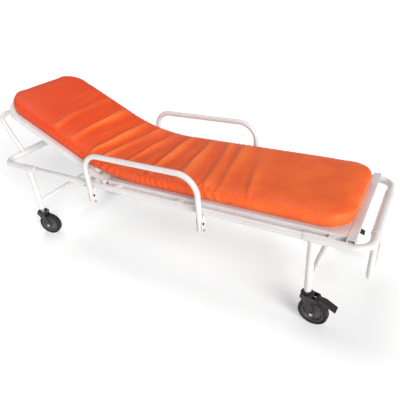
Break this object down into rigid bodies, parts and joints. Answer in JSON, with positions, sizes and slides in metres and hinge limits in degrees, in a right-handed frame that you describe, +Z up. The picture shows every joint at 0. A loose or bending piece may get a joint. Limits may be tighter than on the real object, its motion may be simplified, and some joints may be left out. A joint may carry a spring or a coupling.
{
  "type": "ambulance cot",
  "caption": "Tubular ambulance cot on swivel castors with a hinged backrest, folding side guards, turning end handles, foot brakes and a padded mattress.",
  "frame": {"origin": "on the floor under the middle of the bounding box", "axes": "+X from head to foot, +Y to the patient's left, +Z up"},
  "size_m": [2.0996, 0.63, 0.8039],
  "materials": {
    "white_paint": "gloss",
    "zinc_steel": "satin",
    "dark_steel": "satin",
    "black_plastic": "matte",
    "black_fork": "satin",
    "grey_plastic": "matte",
    "rubber_tyre": "matte",
    "nylon": "matte",
    "orange_cover": "satin"
  },
  "bodies": {
    "frame": {"head_bow": "white_paint", "foot_bow": "white_paint", "side_rail_right": "white_paint", "side_rail_left": "white_paint", "rail_spigots": "zinc_steel", "leg_head_right": "white_paint", "leg_head_left": "white_paint", "leg_foot_right": "white_paint", "leg_foot_left": "white_paint", "lower_cross_tube_head": "white_paint", "lower_cross_tube_foot": "white_paint", "deck_pan": "white_paint", "deck_ribs": "white_paint", "deck_foot_bar": "white_paint", "deck_spacers": "white_paint", "hinge_cross_tube": "white_paint", "hinge_ears": "white_paint", "hinge_brackets": "white_paint", "hinge_rod": "zinc_steel", "clamp_bolts": "zinc_steel", "handle_collars": "white_paint", "guard_brackets": "white_paint", "guard_bolts": "zinc_steel", "guard_catches": "dark_steel", "castor_stems": "zinc_steel", "mattress_foot": "orange_cover", "mattress_fold": "orange_cover"},
    "backrest": {"backrest_pan": "white_paint", "backrest_ribs": "white_paint", "quadrants": "dark_steel", "mattress_head": "orange_cover"},
    "clamp_right": {"clamp_lever_right": "black_plastic"},
    "clamp_left": {"clamp_lever_left": "black_plastic"},
    "head_handle": {"head_handle": "white_paint", "head_handle_bushes": "nylon"},
    "foot_handle": {"foot_handle": "white_paint", "foot_handle_bushes": "nylon"},
    "guard_right": {"guard_right": "white_paint"},
    "guard_left": {"guard_left": "white_paint"},
    "swivel_head_right": {"fork_head_right": "black_fork", "axle_head_right": "zinc_steel"},
    "wheel_head_right": {"hub_head_right": "grey_plastic", "tyre_head_right": "rubber_tyre"},
    "swivel_head_left": {"fork_head_left": "black_fork", "axle_head_left": "zinc_steel"},
    "wheel_head_left": {"hub_head_left": "grey_plastic", "tyre_head_left": "rubber_tyre"},
    "swivel_foot_right": {"fork_foot_right": "black_fork", "axle_foot_right": "zinc_steel"},
    "wheel_foot_right": {"hub_foot_right": "grey_plastic", "tyre_foot_right": "rubber_tyre"},
    "pedal_right": {"brake_pedal_right": "black_plastic"},
    "swivel_foot_left": {"fork_foot_left": "black_fork", "axle_foot_left": "zinc_steel"},
    "wheel_foot_left": {"hub_foot_left": "grey_plastic", "tyre_foot_left": "rubber_tyre"},
    "pedal_left": {"brake_pedal_left": "black_plastic"}
  },
  "joints": [
    {"name": "backrest_hinge", "type": "hinge", "parent": "frame", "child": "backrest", "pos_m": [-0.19616, 0, 0.43], "axis": [0, 1, 0], "range_deg": [-26.3, 45.7], "deforming": ["mattress_fold"]},
    {"name": "clamp_right_turn", "type": "hinge", "parent": "frame", "child": "clamp_right", "pos_m": [-0.19616, -0.117, 0.36], "axis": [0, 1, 0], "range_deg": [0, 60]},
    {"name": "clamp_left_turn", "type": "hinge", "parent": "frame", "child": "clamp_left", "pos_m": [-0.19616, 0.117, 0.36], "axis": [0, 1, 0], "range_deg": [0, 60]},
    {"name": "head_handle_hinge", "type": "hinge", "parent": "frame", "child": "head_handle", "pos_m": [-0.91916, 0, 0.42], "axis": [0, -1, 0], "range_deg": [0, 150.9]},
    {"name": "foot_handle_hinge", "type": "hinge", "parent": "frame", "child": "foot_handle", "pos_m": [1.03084, 0, 0.42], "axis": [0, -1, 0], "range_deg": [0, 150.9]},
    {"name": "guard_right_hinge", "type": "hinge", "parent": "frame", "child": "guard_right", "pos_m": [0.06084, -0.302, 0.345], "axis": [1, 0, 0], "range_deg": [0, 172]},
    {"name": "guard_left_hinge", "type": "hinge", "parent": "frame", "child": "guard_left", "pos_m": [0.06084, 0.302, 0.345], "axis": [-1, 0, 0], "range_deg": [0, 172]},
    {"name": "swivel_head_right", "type": "hinge", "parent": "frame", "child": "swivel_head_right", "pos_m": [-0.71716, -0.272, 0.14], "axis": [0, 0, 1], "continuous": true},
    {"name": "spin_head_right", "type": "hinge", "parent": "swivel_head_right", "child": "wheel_head_right", "pos_m": [-0.68818, -0.26423, 0.0625], "axis": [-0.2588, 0.9659, 0], "continuous": true},
    {"name": "swivel_head_left", "type": "hinge", "parent": "frame", "child": "swivel_head_left", "pos_m": [-0.71716, 0.272, 0.14], "axis": [0, 0, 1], "continuous": true},
    {"name": "spin_head_left", "type": "hinge", "parent": "swivel_head_left", "child": "wheel_head_left", "pos_m": [-0.68732, 0.27514, 0.0625], "axis": [-0.1045, 0.9945, 0], "continuous": true},
    {"name": "swivel_foot_right", "type": "hinge", "parent": "frame", "child": "swivel_foot_right", "pos_m": [0.82884, -0.272, 0.14], "axis": [0, 0, 1], "continuous": true},
    {"name": "spin_foot_right", "type": "hinge", "parent": "swivel_foot_right", "child": "wheel_foot_right", "pos_m": [0.85873, -0.27461, 0.0625], "axis": [0.0872, 0.9962, 0], "continuous": true},
    {"name": "brake_right", "type": "hinge", "parent": "swivel_foot_right", "child": "pedal_right", "pos_m": [0.86869, -0.27549, 0.134], "axis": [-0.0872, -0.9962, 0], "range_deg": [0, 18]},
    {"name": "swivel_foot_left", "type": "hinge", "parent": "frame", "child": "swivel_foot_left", "pos_m": [0.82884, 0.272, 0.14], "axis": [0, 0, 1], "continuous": true},
    {"name": "spin_foot_left", "type": "hinge", "parent": "swivel_foot_left", "child": "wheel_foot_left", "pos_m": [0.8588, 0.27357, 0.0625], "axis": [-0.0523, 0.9986, 0], "continuous": true},
    {"name": "brake_left", "type": "hinge", "parent": "swivel_foot_left", "child": "pedal_left", "pos_m": [0.86879, 0.27409, 0.134], "axis": [0.0523, -0.9986, 0], "range_deg": [0, 18]}
  ]
}
